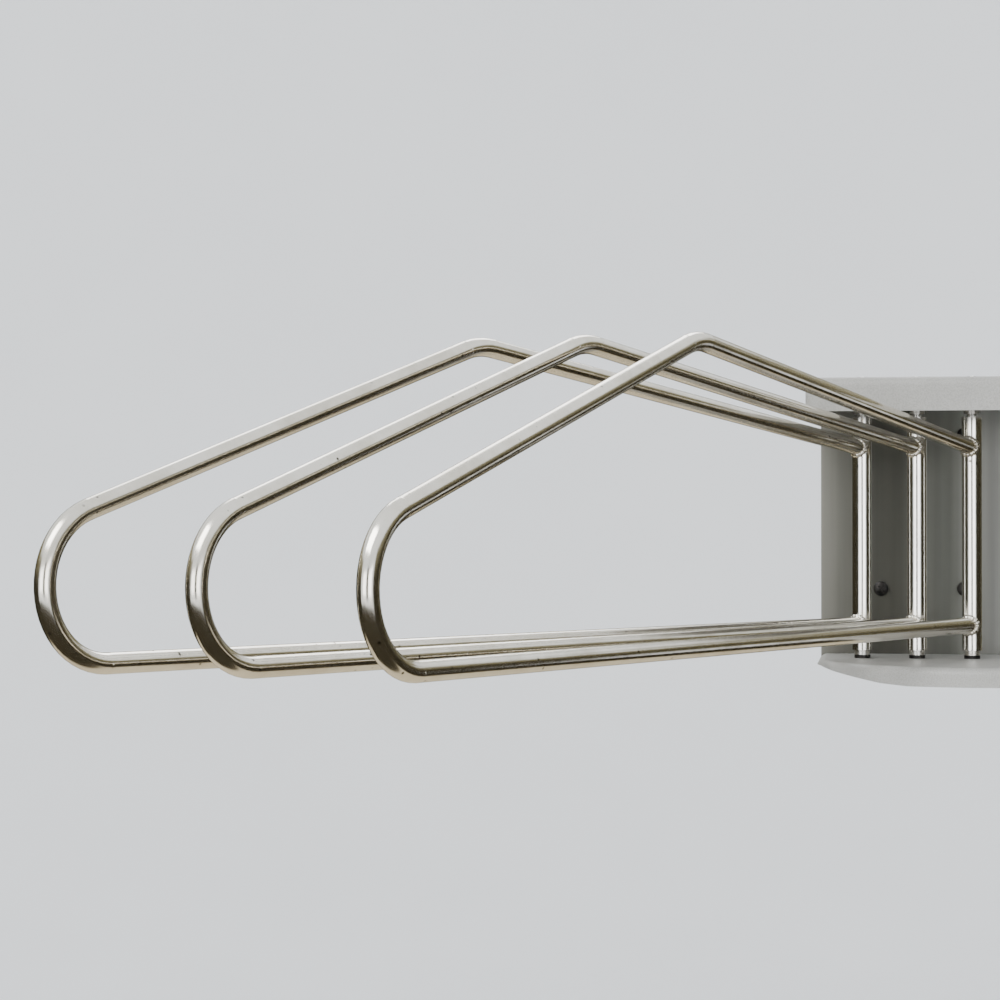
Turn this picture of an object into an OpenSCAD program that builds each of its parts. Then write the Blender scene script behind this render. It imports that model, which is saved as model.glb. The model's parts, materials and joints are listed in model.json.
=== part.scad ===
// Wall bracket with three swing-out hanging arms.
// Millimetres. Z is up, X runs along the wall, and +Y points into the wall, so the
// arms swing in front of the bracket on the -Y side. The origin is on the wall face
// of the back plate, at the centre of its four screw holes.

/* [Arms] */
// Diameter of the bar that each arm loop is bent from
bar_d = 9.5; // [8:0.5:11]
// Distance from the pivot axis to the centre of the bend at the tip
reach = 591; // [450:5:650]
// Centreline radius of the wide bend at the tip
tip_r = 34; // [26:1:42]
// Distance from the pivot axis to the peak of the upper run
peak_reach = 349; // [260:1:380]
// Height of the peak of the upper run over the bottom shelf
peak_h = 170; // [150:1:200]
// Centreline radius of the bend at the peak
peak_r = 45; // [30:1:80]
// Height of the lower run over the bottom shelf
lower_h = 20; // [16:1:30]
// Height over the bottom shelf where the upper run meets the pivot rod
upper_h = 126; // [110:1:127]
// Resting angle of the left arm, measured from straight out, negative to the left
arm_1_angle = -32.5; // [-34:0.5:-31]
// Resting angle of the middle arm
arm_2_angle = -28.3; // [-29.5:0.1:-27]
// Resting angle of the right arm
arm_3_angle = -23.9; // [-25:0.1:-20]

/* [Pivots] */
// Diameter of each pivot rod
pivot_d = 12; // [11:0.5:13]
// Spacing of the pivot rods along the wall
pivot_pitch = 32.5; // [31:0.5:36]
// Distance from the wall to the pivot axes
pivot_off = 55.5; // [45:0.5:65]
// Offset of the middle pivot from the centre of the screw holes
pivot_shift = -4; // [-6:1:0]
// Diameter of the turned ends of each pivot rod
journal_d = 6; // [5:0.5:7]
// Running clearance between a turned end and its bush, on the radius
run_gap = 0.05; // [0.02:0.01:0.1]

/* [Bracket] */
// Clear height between the two shelves
clear_h = 161.5; // [158:0.5:168]
// Thickness of the sheet
sheet = 3; // [2.5:0.5:4]
// Width of the back plate
back_w = 125; // [120:1:140]
// Depth of the bottom shelf in front of the back plate
bottom_d = 160; // [130:1:165]
// Depth of the top shelf in front of the back plate
top_d = 136; // [100:1:140]
// Width of the top shelf
top_w = 136; // [130:1:144]
// Height of the lip along the top shelf
top_lip = 19.5; // [12:0.5:20]
// Corner radius of the top shelf
top_corner = 8; // [6:1:14]
// Width of the bottom shelf
bottom_w = 127; // [127:1:140]
// Height of the lip along the bottom shelf
bottom_lip = 11; // [8:0.5:14]
// Radius of the large left front corner of the bottom shelf
bottom_corner = 96; // [60:1:98]
// Radius of the right front corner of the bottom shelf
bottom_corner_right = 22; // [12:1:26]

/* [Wall screws] */
// Diameter of the screw shanks
screw_d = 4.8; // [4:0.2:6]
// Diameter of the screw heads
screw_head_d = 9; // [8.5:0.5:11]
// Length of a screw beyond the wall face
screw_out = 32; // [25:1:50]
// Spacing of the screw holes along the wall
screw_w = 51; // [46:1:54]
// Spacing of the screw holes up the wall
screw_h = 95; // [88:1:96]
// Height of the lower screw holes over the bottom shelf
screw_low = 40.5; // [38:0.5:46]

/* [Hidden] */
$fn = 64;

// Heights, all over the top face of the bottom shelf
base_z = -(screw_low + screw_h / 2);  // that face, seen from the origin
washer_t = 2;                         // thrust washer on the bottom shelf
bush_head = 3;                        // head of a bush
rod_low = washer_t + bush_head;       // bottom shoulder of a pivot rod
top_gap = 2;                          // bare journal left under the upper bush
top_head = 15;                        // long head of the upper bush
rod_top = clear_h - top_head - top_gap;
journal_out = 4.4;                    // journal beyond the outer face of a shelf
clip_t = 1.2;
clip_off = 1.5;                       // clip beyond the outer face of a shelf
clip_low = -sheet - clip_off - clip_t;
clip_high = clear_h + sheet + clip_off;

// Diameters in the pivot stack
bush_d = 9;                           // head of a bush
barrel_d = 8;                         // barrel of a bush, tight in its shelf
washer_d = 9.6;
clip_d = 11;

// Wall screws
screw_hole_d = screw_d + 0.8;
screw_neck_d = screw_d + 0.6;         // plain neck, inside the back plate
screw_head_t = 2.8;
screw_tip = 7;                        // length of the point

bend_r = 5;                           // outside radius of the folded lips
grip_mark = 0.1;                      // how much fatter the bar is at a grip mark
arm_angles = [arm_1_angle, arm_2_angle, arm_3_angle];

// Arm loop in its own plane: x is the distance from the pivot axis, y the height
peak = [peak_reach, peak_h];
tip_c = [reach, lower_h + tip_r];
to_tip = tip_c - peak;
rise = atan2(peak_h - upper_h, peak_reach);
fall = atan2(to_tip.y, to_tip.x) + asin(tip_r / norm(to_tip));
peak_cut = peak_r * tan((rise - fall) / 2);
inner_run = norm(peak - [0, upper_h]) - peak_cut;
outer_run = sqrt(norm(to_tip) ^ 2 - tip_r ^ 2) - peak_cut;

function pivot_x(i) = pivot_shift + (i - 2) * pivot_pitch;

// Moves a child drawn on the pivot axis, from the bottom shelf up, to pivot i
module at_pivot(i) {
    translate([pivot_x(i), -pivot_off, base_z]) children();
}

// Straight bar of the given length along +X
module bar(length) {
    rotate([0, 90, 0]) cylinder(d = bar_d, h = length);
}

// Bent bar of centreline radius r in the XZ plane, from angle start, turning by sweep,
// with the faint grip mark that the bending roll leaves at each end
module bend(r, start, sweep) {
    rotate([90, 0, 0]) rotate([0, 0, start]) {
        rotate_extrude(angle = sweep) translate([r, 0]) circle(d = bar_d);
        for (a = [0, sweep])
            rotate([0, 0, a]) translate([r, 0, 0]) sphere(d = bar_d + grip_mark);
    }
}

// Centreline of a loop: lower run, tip bend, outer run, peak bend and inner run, each
// placed from the end of the one before
module bent_bar() {
    translate([0, 0, lower_h]) bar(reach);
    translate([tip_c.x, 0, tip_c.y]) {
        bend(tip_r, -90, 180 + fall);
        rotate([0, -fall, 0]) translate([-outer_run, 0, tip_r]) {
            bar(outer_run);
            translate([0, 0, -peak_r]) {
                bend(peak_r, 90, rise - fall);
                rotate([0, fall - rise, 0]) translate([-inner_run, 0, peak_r])
                    bar(inner_run);
            }
        }
    }
}

// One loop, coped at both ends to fit its pivot rod
module loop(i) {
    at_pivot(i) rotate([0, 0, arm_angles[i - 1] - 90]) difference() {
        bent_bar();
        cylinder(d = pivot_d, h = clear_h);
        translate([-pivot_d, -pivot_d, 0]) cube([pivot_d, 2 * pivot_d, clear_h]);
    }
}

// Pivot rod: a plain bar with a turned journal at each end and a groove for each clip
module pivot_rod(i) {
    at_pivot(i) difference() {
        union() {
            translate([0, 0, rod_low]) cylinder(d = pivot_d, h = rod_top - rod_low);
            translate([0, 0, -sheet - journal_out])
                cylinder(d = journal_d, h = clear_h + 2 * (sheet + journal_out));
        }
        for (z = [clip_low, clip_high])
            translate([0, 0, z]) difference() {
                cylinder(d = journal_d + 2, h = clip_t);
                cylinder(d = journal_d - 1.2, h = clip_t);
            }
    }
}

module ring(outer, inner, h) {
    difference() {
        cylinder(d = outer, h = h);
        translate([0, 0, -1]) cylinder(d = inner, h = h + 2);
    }
}

module lower_washer(i) {
    at_pivot(i) ring(washer_d, barrel_d, washer_t);
}

// Flanged bush: head inside the shelf, barrel through the shelf
module lower_bush(i) {
    at_pivot(i) difference() {
        union() {
            translate([0, 0, washer_t]) cylinder(d = bush_d, h = bush_head);
            translate([0, 0, -sheet]) cylinder(d = barrel_d, h = sheet + washer_t);
        }
        translate([0, 0, -sheet - 1])
            cylinder(d = journal_d + 2 * run_gap, h = sheet + rod_low + 2);
    }
}

module upper_bush(i) {
    at_pivot(i) difference() {
        union() {
            translate([0, 0, clear_h - top_head]) cylinder(d = bush_d, h = top_head);
            translate([0, 0, clear_h]) cylinder(d = barrel_d, h = sheet);
        }
        translate([0, 0, clear_h - top_head - 1])
            cylinder(d = journal_d + 2 * run_gap, h = top_head + sheet + 2);
    }
}

// Snap ring in a journal's groove, with the gap it is spread by
module clip(i, z) {
    at_pivot(i) translate([0, 0, z]) difference() {
        cylinder(d = clip_d, h = clip_t);
        translate([0, 0, -1]) cylinder(d = journal_d - 1.2, h = clip_t + 2);
        translate([-journal_d * 0.3, 0, -1])
            cube([journal_d * 0.6, clip_d, clip_t + 2]);
    }
}

// Section of a shelf's folded edge: x runs outwards from the start of the fold,
// y from the shelf's flat outer face towards the end of the lip
module edge_section(lip) {
    intersection() {
        difference() {
            translate([0, bend_r]) circle(r = bend_r);
            translate([0, bend_r]) circle(r = bend_r - sheet);
        }
        square(bend_r);
    }
    translate([bend_r - sheet, bend_r]) square([sheet, lip - bend_r]);
}

// Straight stretch of folded edge along +X, facing -Y
module edge_run(length, lip) {
    rotate([90, 0, 90]) linear_extrude(length) mirror([1, 0]) edge_section(lip);
}

// Folded edge round a corner of radius r, from facing start to start + 90 degrees
module edge_corner(r, start, lip) {
    rotate([0, 0, start]) rotate_extrude(angle = 90)
        translate([r - bend_r, 0]) edge_section(lip);
}

// Pan-head screw along +Z from under its head, with a cross recess
module screw() {
    difference() {
        intersection() {
            translate([0, 0, -screw_head_t]) cylinder(d = screw_head_d, h = screw_head_t);
            translate([0, 0, screw_head_d - screw_head_t]) sphere(r = screw_head_d);
        }
        for (turn = [45, 135])
            rotate([0, 0, turn]) translate([-2.4, -0.55, -screw_head_t - 1])
                cube([4.8, 1.1, 2.6]);
    }
    cylinder(d = screw_neck_d, h = sheet);
    translate([0, 0, sheet]) cylinder(d = screw_d, h = screw_out - screw_tip);
    translate([0, 0, sheet + screw_out - screw_tip])
        cylinder(d1 = screw_d, d2 = 1, h = screw_tip);
}

// Places a child at each of the four screw holes, on the front face of the back plate
module at_screws() {
    for (x = [-1, 1], z = [-1, 1])
        translate([x * screw_w / 2, -sheet, z * screw_h / 2]) rotate([-90, 0, 0]) children();
}

// Lower left quarter of a disc, with a little over so that it joins what is beside it
module quarter(r) {
    intersection() {
        circle(r = r);
        translate([-r, -r]) square(r + 1);
    }
}

// Shelf of width w and depth d with a lip on its front and sides, the lip pointing up,
// its flat face at z = 0
module shelf(w, d, lip, r_left, r_right) {
    left = -w / 2;
    right = w / 2;
    front_y = -(sheet + d);
    // Flat of the shelf, inside the fold
    linear_extrude(sheet) {
        translate([left + r_left, front_y + bend_r])
            square([w - r_left - r_right, d - bend_r]);
        translate([left + bend_r, front_y + r_left])
            square([r_left, d - r_left]);
        translate([right - r_right - bend_r, front_y + r_right])
            square([r_right, d - r_right]);
        translate([left + r_left, front_y + r_left]) quarter(r_left - bend_r);
        translate([right - r_right, front_y + r_right])
            mirror([1, 0]) quarter(r_right - bend_r);
    }
    // Front, corners and sides of the folded edge
    translate([left + r_left, front_y + bend_r, 0])
        edge_run(w - r_left - r_right, lip);
    translate([left + r_left, front_y + r_left, 0]) edge_corner(r_left, 180, lip);
    translate([right - r_right, front_y + r_right, 0]) edge_corner(r_right, 270, lip);
    translate([left + bend_r, -sheet, 0])
        rotate([0, 0, -90]) edge_run(d - r_left, lip);
    translate([right - bend_r, front_y + r_right, 0])
        rotate([0, 0, 90]) edge_run(d - r_right, lip);
}

// Holes for the barrels of the bushes, through a shelf at height z
module barrel_holes(z) {
    for (i = [1:3])
        at_pivot(i) translate([0, 0, z - 1]) cylinder(d = barrel_d, h = sheet + 2);
}

module back_plate() {
    color("gray") difference() {
        translate([-back_w / 2, -sheet, base_z - sheet])
            cube([back_w, sheet, clear_h + 2 * sheet]);
        at_screws() translate([0, 0, -1]) cylinder(d = screw_hole_d, h = sheet + 2);
    }
}

module wall_screws() { color("black") at_screws() screw(); }

// Both shelves are folded down
module top_shelf() {
    color("lightgray") difference() {
        translate([0, 0, base_z + clear_h + sheet]) mirror([0, 0, 1])
            shelf(top_w, top_d, top_lip, top_corner, top_corner);
        barrel_holes(clear_h);
    }
}

// The lip fades out round both front corners
module bottom_shelf() {
    color("lightgray") difference() {
        translate([0, 0, base_z]) mirror([0, 0, 1])
            shelf(bottom_w, bottom_d, bottom_lip, bottom_corner, bottom_corner_right);
        barrel_holes(-sheet);
        translate([0, 0, base_z]) rotate([90, 0, 0])
            linear_extrude(2 * bottom_d + bottom_w, center = true) {
                lip_end(-bottom_w / 2, bottom_corner);
                mirror([1, 0]) lip_end(-bottom_w / 2, bottom_corner_right);
            }
    }
}

// What is cut from the lip at one end, drawn on the front elevation
module lip_end(x, r) {
    drop = bottom_lip - sheet;
    polygon([[x - 1, -sheet], [x + r * 0.03, -sheet], [x + r * 0.11, -sheet - drop * 0.25],
             [x + r * 0.22, -sheet - drop * 0.5], [x + r * 0.39, -sheet - drop * 0.86],
             [x + r * 0.55, -bottom_lip],
             [x + r * 0.55, -bottom_lip - 1], [x - 1, -bottom_lip - 1]]);
}

module arm_1_loop() { color("silver") loop(1); }
module arm_2_loop() { color("silver") loop(2); }
module arm_3_loop() { color("silver") loop(3); }
module pivot_rod_1() { color("silver") pivot_rod(1); }
module pivot_rod_2() { color("silver") pivot_rod(2); }
module pivot_rod_3() { color("silver") pivot_rod(3); }
module lower_washer_1() { color("black") lower_washer(1); }
module lower_washer_2() { color("black") lower_washer(2); }
module lower_washer_3() { color("black") lower_washer(3); }
module lower_bush_1() { color("white") lower_bush(1); }
module lower_bush_2() { color("white") lower_bush(2); }
module lower_bush_3() { color("white") lower_bush(3); }
module upper_bush_1() { color("white") upper_bush(1); }
module upper_bush_2() { color("white") upper_bush(2); }
module upper_bush_3() { color("white") upper_bush(3); }
module lower_clip_1() { color("dimgray") clip(1, clip_low); }
module lower_clip_2() { color("dimgray") clip(2, clip_low); }
module lower_clip_3() { color("dimgray") clip(3, clip_low); }
module upper_clip_1() { color("dimgray") clip(1, clip_high); }
module upper_clip_2() { color("dimgray") clip(2, clip_high); }
module upper_clip_3() { color("dimgray") clip(3, clip_high); }

back_plate();
top_shelf();
bottom_shelf();
wall_screws();
arm_1_loop();
arm_2_loop();
arm_3_loop();
pivot_rod_1();
pivot_rod_2();
pivot_rod_3();
lower_washer_1();
lower_washer_2();
lower_washer_3();
lower_bush_1();
lower_bush_2();
lower_bush_3();
upper_bush_1();
upper_bush_2();
upper_bush_3();
lower_clip_1();
lower_clip_2();
lower_clip_3();
upper_clip_1();
upper_clip_2();
upper_clip_3();
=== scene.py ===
"""Looks for the three-arm wall rack: plated bars and welds, painted bracket, pale studio."""

import json
import math

import bmesh
import bpy
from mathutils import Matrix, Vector


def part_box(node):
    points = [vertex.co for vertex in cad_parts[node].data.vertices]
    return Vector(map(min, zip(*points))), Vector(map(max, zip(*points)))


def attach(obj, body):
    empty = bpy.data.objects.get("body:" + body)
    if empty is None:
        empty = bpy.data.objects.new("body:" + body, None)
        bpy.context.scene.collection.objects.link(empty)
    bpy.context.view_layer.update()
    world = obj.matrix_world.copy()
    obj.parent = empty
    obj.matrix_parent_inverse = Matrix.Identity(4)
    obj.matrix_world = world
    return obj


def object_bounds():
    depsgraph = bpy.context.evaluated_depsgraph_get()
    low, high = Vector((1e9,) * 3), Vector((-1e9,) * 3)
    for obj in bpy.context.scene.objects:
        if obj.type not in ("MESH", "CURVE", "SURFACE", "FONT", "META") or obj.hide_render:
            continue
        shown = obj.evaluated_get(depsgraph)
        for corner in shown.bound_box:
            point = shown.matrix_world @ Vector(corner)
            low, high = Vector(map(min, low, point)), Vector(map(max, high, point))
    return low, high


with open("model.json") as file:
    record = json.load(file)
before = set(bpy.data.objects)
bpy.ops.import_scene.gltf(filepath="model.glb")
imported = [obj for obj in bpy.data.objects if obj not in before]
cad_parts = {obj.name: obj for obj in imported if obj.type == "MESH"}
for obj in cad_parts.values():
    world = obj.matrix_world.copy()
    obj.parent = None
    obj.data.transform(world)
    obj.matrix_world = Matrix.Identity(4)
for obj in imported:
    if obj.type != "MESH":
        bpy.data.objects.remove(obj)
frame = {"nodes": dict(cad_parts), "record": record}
CAD_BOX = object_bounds()
MM = 0.001

# ---- places and sizes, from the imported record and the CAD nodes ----
ARMS = (1, 2, 3)
JOINTS = {j["name"]: j for j in frame["record"]["behaviour"]["joints"]}
MIDDLE = (Vector(CAD_BOX[0]) + Vector(CAD_BOX[1])) / 2
ROD_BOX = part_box("pivot_rod_1")
ROD_R = (ROD_BOX[1][0] - ROD_BOX[0][0]) / 2
BAR_R = 4.75 * MM  # half of the loops' bar, as in part.scad
BEAD_R = 1.7 * MM
SHEET_EASE = 0.5 * MM
PLATE_EASE = 0.4 * MM
WASHER_EASE = 0.8 * MM

# ---- the photograph's viewpoint, found from the outlines of the three equal loops ----
CAMERA_PLACE = (-0.0199, -1.6455, -0.0088)
CAMERA_YAW = -0.148
CAMERA_PITCH = 0.010
CAMERA_LENS_MM = 94.2
SENSOR_MM = 36

# ---- the studio, in metres from the middle of the rack ----
FLOOR_DROP = 0.85
FLOOR_RADIUS = 3.0
FLOOR_CURVE = 1.2
WALL_TOP = 3.4
WALL_MIRRORED_R = 2.2
TALL = (-0.82, 0.95)
BLACK_WALL = (0.025, 0.021, 0.013)
OLIVE_WALL = (0.20, 0.18, 0.11)
TAN_FLOOR = (0.46, 0.40, 0.29)
SKY = (0.93, 0.965, 1.0, 1)
SKY_STRENGTH = 1.45


def pivot(i):
    """Axis of arm i: its x and y, with z at 0."""
    x, y, _ = JOINTS[f"arm_{i}_swing"]["pos_m"]
    return Vector((x, y, 0))


def add_object(name, data):
    """Puts a mesh, light or camera into the scene."""
    obj = bpy.data.objects.new(name, data)
    bpy.context.collection.objects.link(obj)
    return obj


def smooth_mesh(name, mesh):
    """Turns a finished bmesh into mesh data with smooth shading."""
    data = bpy.data.meshes.new(name)
    mesh.to_mesh(data)
    mesh.free()
    data.shade_smooth()
    return data


# ---- node material helpers ----
class Shader:
    """One Principled material, with short names for the nodes that drive it."""

    def __init__(self, name, **constants):
        self.material = bpy.data.materials.new(name)
        self.material.use_nodes = True
        self.tree = self.material.node_tree
        self.out = self.tree.nodes["Principled BSDF"]
        for socket, value in constants.items():
            self.out.inputs[socket.replace("_", " ")].default_value = value
        self.place = self.tree.nodes.new("ShaderNodeTexCoord").outputs["Object"]

    def node(self, kind, **settings):
        made = self.tree.nodes.new("ShaderNode" + kind)
        for key, value in settings.items():
            setattr(made, key, value)
        return made

    def link(self, source, target):
        self.tree.links.new(source, target)

    def scaled(self, scale):
        stretch = self.node("Mapping")
        stretch.inputs["Scale"].default_value = scale
        self.link(self.place, stretch.inputs["Vector"])
        return stretch.outputs["Vector"]

    def noise(self, scale, detail=4.0, rough=0.55, stretch=(1, 1, 1)):
        made = self.node("TexNoise")
        made.inputs["Scale"].default_value = scale
        made.inputs["Detail"].default_value = detail
        made.inputs["Roughness"].default_value = rough
        self.link(self.scaled(stretch), made.inputs["Vector"])
        return made.outputs["Fac"]

    def specks(self, scale, size):
        """1 in small round specks, 0 elsewhere."""
        cells = self.node("TexVoronoi", feature="F1")
        cells.inputs["Scale"].default_value = scale
        self.link(self.place, cells.inputs["Vector"])
        return self.ramp(cells.outputs["Distance"], [(0, 1), (size, 1), (size * 1.6, 0)])

    def along(self, axis, low, high):
        """0 where that coordinate is low, to 1 where it is high."""
        axes = self.node("SeparateXYZ")
        self.link(self.place, axes.inputs["Vector"])
        span = self.node("MapRange")
        span.inputs["From Min"].default_value = low
        span.inputs["From Max"].default_value = high
        self.link(axes.outputs[axis], span.inputs["Value"])
        return span.outputs["Result"]

    def ramp(self, fac, stops):
        """Grey or coloured ramp: stops are (position, value or rgb)."""
        made = self.node("ValToRGB")
        elements = made.color_ramp.elements
        while len(elements) < len(stops):
            elements.new(0.5)
        for element, (position, value) in zip(elements, stops):
            rgb = value if isinstance(value, tuple) else (value,) * 3
            element.position = position
            element.color = (*rgb, 1)
        self.link(fac, made.inputs["Fac"])
        return made.outputs["Color"]

    def mix(self, fac, first, second, blend="MIX"):
        """Blends two colours; each of the three may be a socket or a plain value."""
        made = self.node("Mix", data_type="RGBA", blend_type=blend)
        fac_in, first_in, second_in = (made.inputs[k] for k in (0, 6, 7))
        for socket, value in ((fac_in, fac), (first_in, first), (second_in, second)):
            if hasattr(value, "links"):
                self.link(value, socket)
            else:
                socket.default_value = (*value, 1) if isinstance(value, tuple) else value
        return made.outputs[2]

    def colour(self, source):
        self.link(source, self.out.inputs["Base Color"])

    def roughness(self, source):
        self.link(source, self.out.inputs["Roughness"])

    def bump(self, *layers):
        """Layers of (height, strength, distance in metres)."""
        normal = None
        for height, strength, distance in layers:
            made = self.node("Bump")
            made.inputs["Strength"].default_value = strength
            made.inputs["Distance"].default_value = distance
            self.link(height, made.inputs["Height"])
            if normal:
                self.link(normal, made.inputs["Normal"])
            normal = made.outputs["Normal"]
        self.link(normal, self.out.inputs["Normal"])


def plated_metal(name, tint, dull, rough):
    """Bright nickel plate: slight clouding, fine pits and hairlines."""
    pit_brown = (0.10, 0.09, 0.07)
    s = Shader(name, Metallic=1.0)
    clouds = s.noise(35, detail=5, rough=0.6)
    worn_patches = s.ramp(s.noise(22, detail=2), [(0.47, 0), (0.56, 1)])
    pits = s.mix(1.0, s.specks(170, size=0.09), worn_patches, "MULTIPLY")
    hair = s.noise(900, detail=2, rough=0.5, stretch=(1, 1, 0.06))
    base = s.ramp(clouds, [(0.3, dull), (0.62, tint)])
    s.colour(s.mix(pits, base, pit_brown))
    s.roughness(s.ramp(clouds, [(0.25, rough + 0.08), (0.7, rough)]))
    dents = s.noise(60, detail=2)
    s.bump((dents, 0.06, 0.4 * MM), (hair, 0.04, 0.1 * MM), (pits, -0.3, 0.2 * MM))
    return s.material


def painted_steel(name, shade, worn):
    """Satin powder coat: orange peel, faint clouding, dust in the grain."""
    s = Shader(name, Specular_IOR_Level=0.45)
    clouds = s.noise(14, detail=5, rough=0.6)
    grain = s.noise(1400, detail=2, rough=0.5)
    dust = s.ramp(grain, [(0.35, 0.25), (0.6, 0.0)])
    base = s.ramp(clouds, [(0.3, worn), (0.65, shade)])
    s.colour(s.mix(dust, base, worn, "MULTIPLY"))
    s.roughness(s.ramp(clouds, [(0.3, 0.5), (0.7, 0.36)]))
    peel, waves = s.noise(700, detail=2), s.noise(60, detail=2)
    s.bump((peel, 0.12, 0.2 * MM), (waves, 0.06, 0.6 * MM))
    return s.material


def brushed_plate_with_painted_shade(name, node):
    """Satin steel with upright brushing in its roughness; its colour carries painted shade,
    darker between the rods and lighter towards both sides of the plate, and upright bands of
    painted reflection.
    """
    low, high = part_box(node)
    s = Shader(name, Metallic=0.45, Specular_IOR_Level=0.4)
    # painted shade: the plate colour is darker in the middle between the rods and lighter towards
    # both sides
    shade = s.ramp(s.along("X", low[0], high[0]), [
        (0.00, (0.220, 0.215, 0.185)),
        (0.12, (0.120, 0.118, 0.100)),
        (0.25, (0.078, 0.076, 0.062)),
        (0.40, (0.085, 0.083, 0.068)),
        (0.50, (0.105, 0.105, 0.090)),
        (0.63, (0.135, 0.137, 0.118)),
        (0.86, (0.220, 0.220, 0.200)),
        (1.00, (0.270, 0.270, 0.250)),
    ])
    # painted reflection: soft upright light and dark bands multiplied into the plate colour
    upright_reflection_noise = s.noise(55, detail=3, rough=0.5, stretch=(1, 1, 0.03))
    painted_reflection_bands = s.ramp(upright_reflection_noise, [(0.3, 0.62), (0.65, 1.0)])
    s.colour(s.mix(1.0, shade, painted_reflection_bands, "MULTIPLY"))
    brushing = s.noise(2200, detail=2, rough=0.5, stretch=(1, 1, 0.01))
    s.roughness(s.ramp(brushing, [(0.3, 0.42), (0.7, 0.3)]))
    waves = s.noise(40, detail=2)
    s.bump((brushing, 0.08, 0.1 * MM), (waves, 0.05, 0.6 * MM))
    return s.material


def sintered_steel(name):
    """Satin bush metal with fine open grain."""
    s = Shader(name, Metallic=1.0)
    grain = s.noise(900, detail=3)
    s.colour(s.ramp(grain, [(0.3, (0.52, 0.50, 0.46)), (0.65, (0.74, 0.72, 0.68))]))
    s.roughness(s.ramp(s.noise(600, detail=2), [(0.3, 0.36), (0.7, 0.24)]))
    s.bump((s.noise(1600, detail=2), 0.12, 0.1 * MM))
    return s.material


def dark_steel(name, shade, worn, rough):
    """Blackened or plain spring steel, rubbed lighter in places."""
    s = Shader(name, Metallic=0.9)
    s.colour(s.ramp(s.noise(260, detail=4), [(0.35, shade), (0.75, worn)]))
    s.roughness(s.ramp(s.noise(500, detail=3), [(0.3, rough), (0.7, rough + 0.15)]))
    s.bump((s.noise(1200, detail=2), 0.15, 0.1 * MM))
    return s.material


def dress(node, material):
    """Gives a CAD node its material."""
    mesh = frame["nodes"][node].data
    mesh.materials.clear()
    mesh.materials.append(material)


def ease_edges(node, width):
    """Takes the knife edge off a CAD node's sheet-metal corners."""
    edge = frame["nodes"][node].modifiers.new("eased_edge", "BEVEL")
    edge.width = width
    edge.segments = 2
    edge.limit_method = "ANGLE"
    edge.angle_limit = math.radians(50)


# ---- weld beads ----
def loop_points(i):
    """The points of loop i, each as its level offset from the pivot and its height."""
    origin = pivot(i)
    points = [v.co for v in frame["nodes"][f"arm_{i}_loop"].data.vertices]
    return [(Vector((p.x, p.y, 0)) - origin, p.z) for p in points]


def arm_direction(i):
    """Unit vector from the pivot of arm i to its tip, level."""
    return max((level for level, _ in loop_points(i)), key=lambda v: v.length).normalized()


def bar_ends(i):
    """Heights where the lower and upper run of loop i meet the pivot rod."""
    near = [z for level, z in loop_points(i) if level.length < ROD_R + BAR_R]
    middle = (min(near) + max(near)) / 2
    groups = [z for z in near if z < middle], [z for z in near if z >= middle]
    return [(min(g) + max(g)) / 2 for g in groups]


def weld_bead(i, where, height, material, sides=12, steps=96):
    """Rippled fillet bead along the saddle where a bar meets its pivot rod."""
    out = arm_direction(i)
    across = Vector((-out.y, out.x, 0))
    origin = pivot(i)
    mesh = bmesh.new()

    def on_saddle(turn):
        side, rise = BAR_R * math.cos(turn), BAR_R * math.sin(turn)
        along = math.sqrt(ROD_R**2 - side**2)
        return origin + out * along + across * side + Vector((0, 0, height + rise))

    rings = []
    for step in range(steps):
        turn = 2 * math.pi * step / steps
        here, ahead = on_saddle(turn), on_saddle(turn + 0.01)
        tangent = (ahead - here).normalized()
        first = (out - tangent * out.dot(tangent)).normalized()
        second = tangent.cross(first)
        ripple = 1 + 0.10 * math.sin(turn * 17 + i) + 0.07 * math.sin(turn * 5 + 2 * i)
        size = BEAD_R * ripple
        rings.append([
            mesh.verts.new(here + size * (math.cos(a) * first + math.sin(a) * second))
            for a in (2 * math.pi * k / sides for k in range(sides))
        ])
    for ring, following in zip(rings, rings[1:] + rings[:1]):
        for k in range(sides):
            n = (k + 1) % sides
            mesh.faces.new((ring[k], ring[n], following[n], following[k]))
    bmesh.ops.recalc_face_normals(mesh, faces=mesh.faces)
    name = f"arm_{i}_weld_{where}"
    bead = add_object(name, smooth_mesh(name, mesh))
    bead.data.materials.append(material)
    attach(bead, f"arm_{i}")


# ---- the studio ----
def studio_bowl(floor_z, turns=96, floor_rings=6, curve_rings=24):
    """Floor that curves up into a wall all round, so every view has the same plain ground."""
    profile = [(FLOOR_RADIUS * k / floor_rings, floor_z) for k in range(1, floor_rings + 1)]
    for k in range(1, curve_rings + 1):
        lean = math.pi / 2 * k / curve_rings
        profile.append((FLOOR_RADIUS + FLOOR_CURVE * math.sin(lean),
                        floor_z + FLOOR_CURVE * (1 - math.cos(lean))))
    profile.append((FLOOR_RADIUS + FLOOR_CURVE, floor_z + WALL_TOP))
    mesh = bmesh.new()
    angles = [2 * math.pi * k / turns for k in range(turns)]
    rows = [[mesh.verts.new((r * math.cos(a), r * math.sin(a), z)) for a in angles]
            for r, z in profile]
    mesh.faces.new(rows[0])
    for low, high in zip(rows, rows[1:]):
        for k in range(turns):
            n = (k + 1) % turns
            mesh.faces.new((low[k], high[k], high[n], low[n]))
    bowl = add_object("studio_floor", smooth_mesh("studio_floor", mesh))
    s = Shader("studio_pale", Roughness=0.9)
    mottle = s.noise(3, detail=2)
    s.colour(s.ramp(mottle, [(0.3, (0.85, 0.855, 0.86)), (0.7, (0.87, 0.875, 0.88))]))
    bowl.data.materials.append(s.material)


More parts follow.
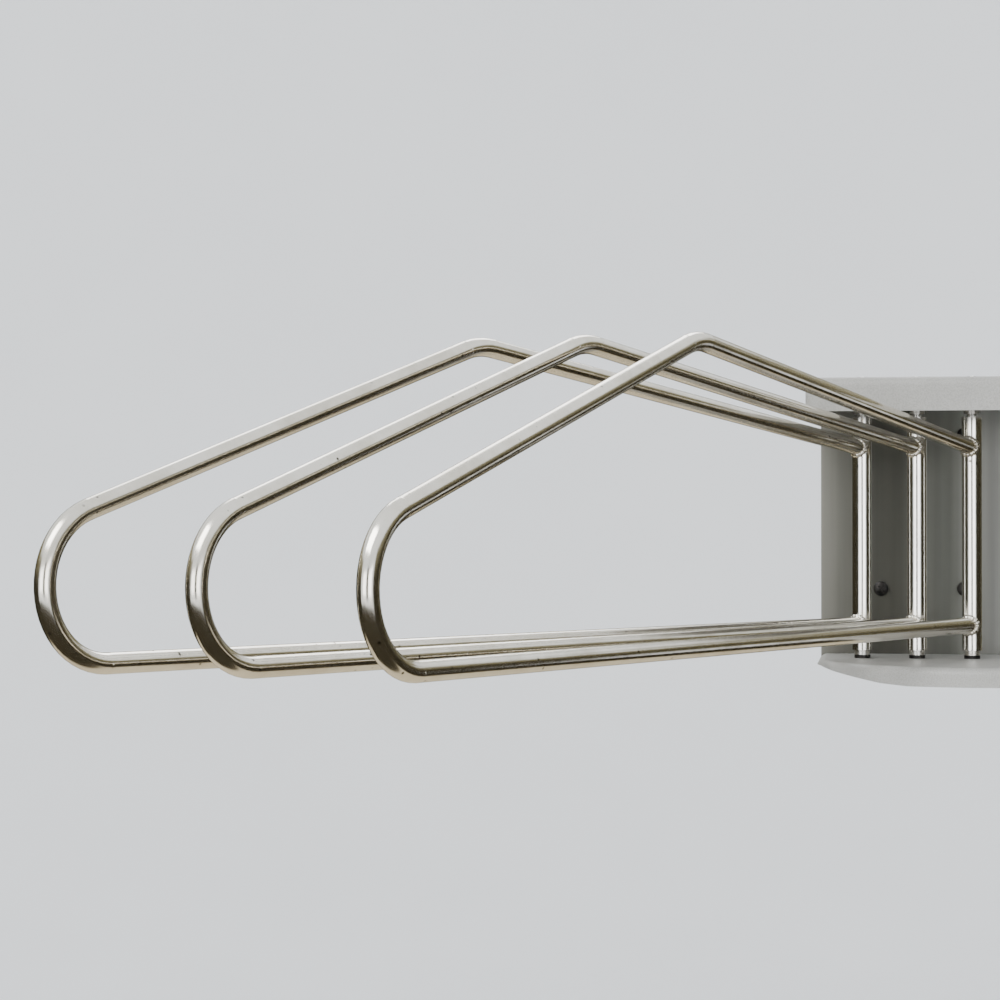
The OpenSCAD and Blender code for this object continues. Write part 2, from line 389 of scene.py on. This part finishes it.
def softbox(name, place, size, power):
    """An unseen soft rectangle light that faces the middle of the rack."""
    light = bpy.data.lights.new(name, "AREA")
    light.shape = "RECTANGLE"
    light.size, light.size_y = size
    light.energy = power
    obj = add_object(name, light)
    obj.location = place
    obj.rotation_euler = (MIDDLE - Vector(place)).to_track_quat("-Z", "Y").to_euler()
    obj.visible_camera = False


def only_in_reflections(name, mesh, shades):
    """Stands a board in the studio that only glossy surfaces see, shaded from foot to top."""
    card = add_object(name, mesh)
    s = Shader(name, Roughness=1.0, Specular_IOR_Level=0.0)
    heights = [v.co.z for v in mesh.vertices]
    rise = s.along("Z", min(heights), max(heights) + MM)
    last = len(shades) - 1
    s.colour(s.ramp(rise, [(k / last, shade) for k, shade in enumerate(shades)]))
    mesh.materials.append(s.material)
    card.visible_camera = False
    card.visible_diffuse = False
    card.visible_shadow = False


def reflection_board(name, low, high, z, shade):
    """A level board under the rack, from corner low to corner high."""
    (x0, y0), (x1, y1) = low, high
    mesh = bpy.data.meshes.new(name)
    mesh.from_pydata([(x0, y0, z), (x1, y0, z), (x1, y1, z), (x0, y1, z)], [], [(0, 1, 2, 3)])
    only_in_reflections(name, mesh, [shade, shade])


def reflection_band(name, radius, heights, turns, shades, steps):
    """An upright band round the rack; turns are degrees from the front by way of the right."""
    start, end = turns
    verts, faces = [], []
    for k in range(steps + 1):
        turn = math.radians(start + (end - start) * k / steps)
        x, y = MIDDLE.x + radius * math.sin(turn), MIDDLE.y - radius * math.cos(turn)
        verts += [(x, y, MIDDLE.z + h) for h in heights]
    for k in range(steps):
        faces.append((2 * k, 2 * k + 2, 2 * k + 3, 2 * k + 1))
    mesh = bpy.data.meshes.new(name)
    mesh.from_pydata(verts, [], faces)
    only_in_reflections(name, mesh, shades)


def light_the_studio():
    world = bpy.data.worlds.new("studio_air")
    bpy.context.scene.world = world
    world.use_nodes = True
    sky = world.node_tree.nodes["Background"]
    sky.inputs["Color"].default_value = SKY
    sky.inputs["Strength"].default_value = SKY_STRENGTH
    x, y, z = MIDDLE
    softbox("key_light", (x - 0.9, y - 1.3, z + 1.9), size=(1.8, 1.2), power=60)
    softbox("front_light_left", (x - 1.25, y - 3.0, z + 0.25), size=(1.7, 1.3), power=28)
    softbox("front_light_right", (x + 1.45, y - 3.0, z + 0.25), size=(1.7, 1.3), power=28)
    softbox("back_light", (x - 0.4, y + 2.0, z + 1.6), size=(1.6, 1.0), power=22)


def stand_the_reflections():
    """What the bright plate mirrors: dark walls, the gap between the front lights, and a dark
    floor with a tan patch behind the rack."""
    dark_wall = [BLACK_WALL, BLACK_WALL, OLIVE_WALL]
    low_gap = [OLIVE_WALL, BLACK_WALL, OLIVE_WALL]
    black = [BLACK_WALL, BLACK_WALL]
    reflection_band("band_right", WALL_MIRRORED_R, TALL, (52, 124.5), dark_wall, 24)
    reflection_band("band_gap", WALL_MIRRORED_R, (-0.22, 0.60), (124.5, 131.5), low_gap, 4)
    reflection_band("band_left", WALL_MIRRORED_R, TALL, (131.5, 312), dark_wall, 48)
    reflection_band("band_front", 2.7, (-0.5, 0.9), (-7, 9), black, 6)
    x, y, z = MIDDLE
    reflection_board("floor_behind", (x - 1.2, y - 0.1), (x + 1.0, y + 2.0), z - 0.80, TAN_FLOOR)
    reflection_board("floor_dark", (x - 2.4, y - 2.6), (x + 2.4, y + 2.4), z - 0.82, BLACK_WALL)


def place_camera():
    """Level with the middle of the rack, from its front right."""
    camera = bpy.data.cameras.new("camera")
    camera.lens = CAMERA_LENS_MM
    camera.sensor_width = SENSOR_MM
    obj = add_object("camera", camera)
    obj.location = CAMERA_PLACE
    level = math.cos(CAMERA_PITCH)
    forward = Vector((
        math.sin(CAMERA_YAW) * level, math.cos(CAMERA_YAW) * level, math.sin(CAMERA_PITCH)))
    obj.rotation_euler = forward.to_track_quat("-Z", "Y").to_euler()
    bpy.context.scene.camera = obj


# ---- the rack ----
NICKEL = plated_metal(
    "nickel_plate", tint=(0.81, 0.77, 0.685), dull=(0.64, 0.595, 0.50), rough=0.15)
ROD_NICKEL = plated_metal(
    "rod_nickel", tint=(0.80, 0.79, 0.75), dull=(0.66, 0.64, 0.60), rough=0.12)
WELD = plated_metal("weld_nickel", tint=(0.80, 0.77, 0.70), dull=(0.50, 0.46, 0.38), rough=0.20)
SHELF = painted_steel("shelf_paint", shade=(0.325, 0.32, 0.30), worn=(0.28, 0.276, 0.256))
PLATE = brushed_plate_with_painted_shade("plate_steel", "back_plate")
BUSH = sintered_steel("bush_steel")
BLACK = dark_steel("washer_black", shade=(0.02, 0.02, 0.02), worn=(0.06, 0.055, 0.05), rough=0.35)
SPRING = dark_steel("clip_steel", shade=(0.22, 0.22, 0.23), worn=(0.40, 0.40, 0.41), rough=0.3)

dress("back_plate", PLATE)
ease_edges("back_plate", PLATE_EASE)
dress("wall_screws", BLACK)
for shelf in ("top_shelf", "bottom_shelf"):
    dress(shelf, SHELF)
    ease_edges(shelf, SHEET_EASE)
for i in ARMS:
    dress(f"arm_{i}_loop", NICKEL)
    dress(f"pivot_rod_{i}", ROD_NICKEL)
    dress(f"lower_washer_{i}", BLACK)
    ease_edges(f"lower_washer_{i}", WASHER_EASE)
    for level in ("lower", "upper"):
        dress(f"{level}_bush_{i}", BUSH)
        dress(f"{level}_clip_{i}", SPRING)
    for where, height in zip(("low", "high"), bar_ends(i)):
        weld_bead(i, where, height, WELD)

studio_bowl(MIDDLE.z - FLOOR_DROP)
light_the_studio()
stand_the_reflections()
place_camera()
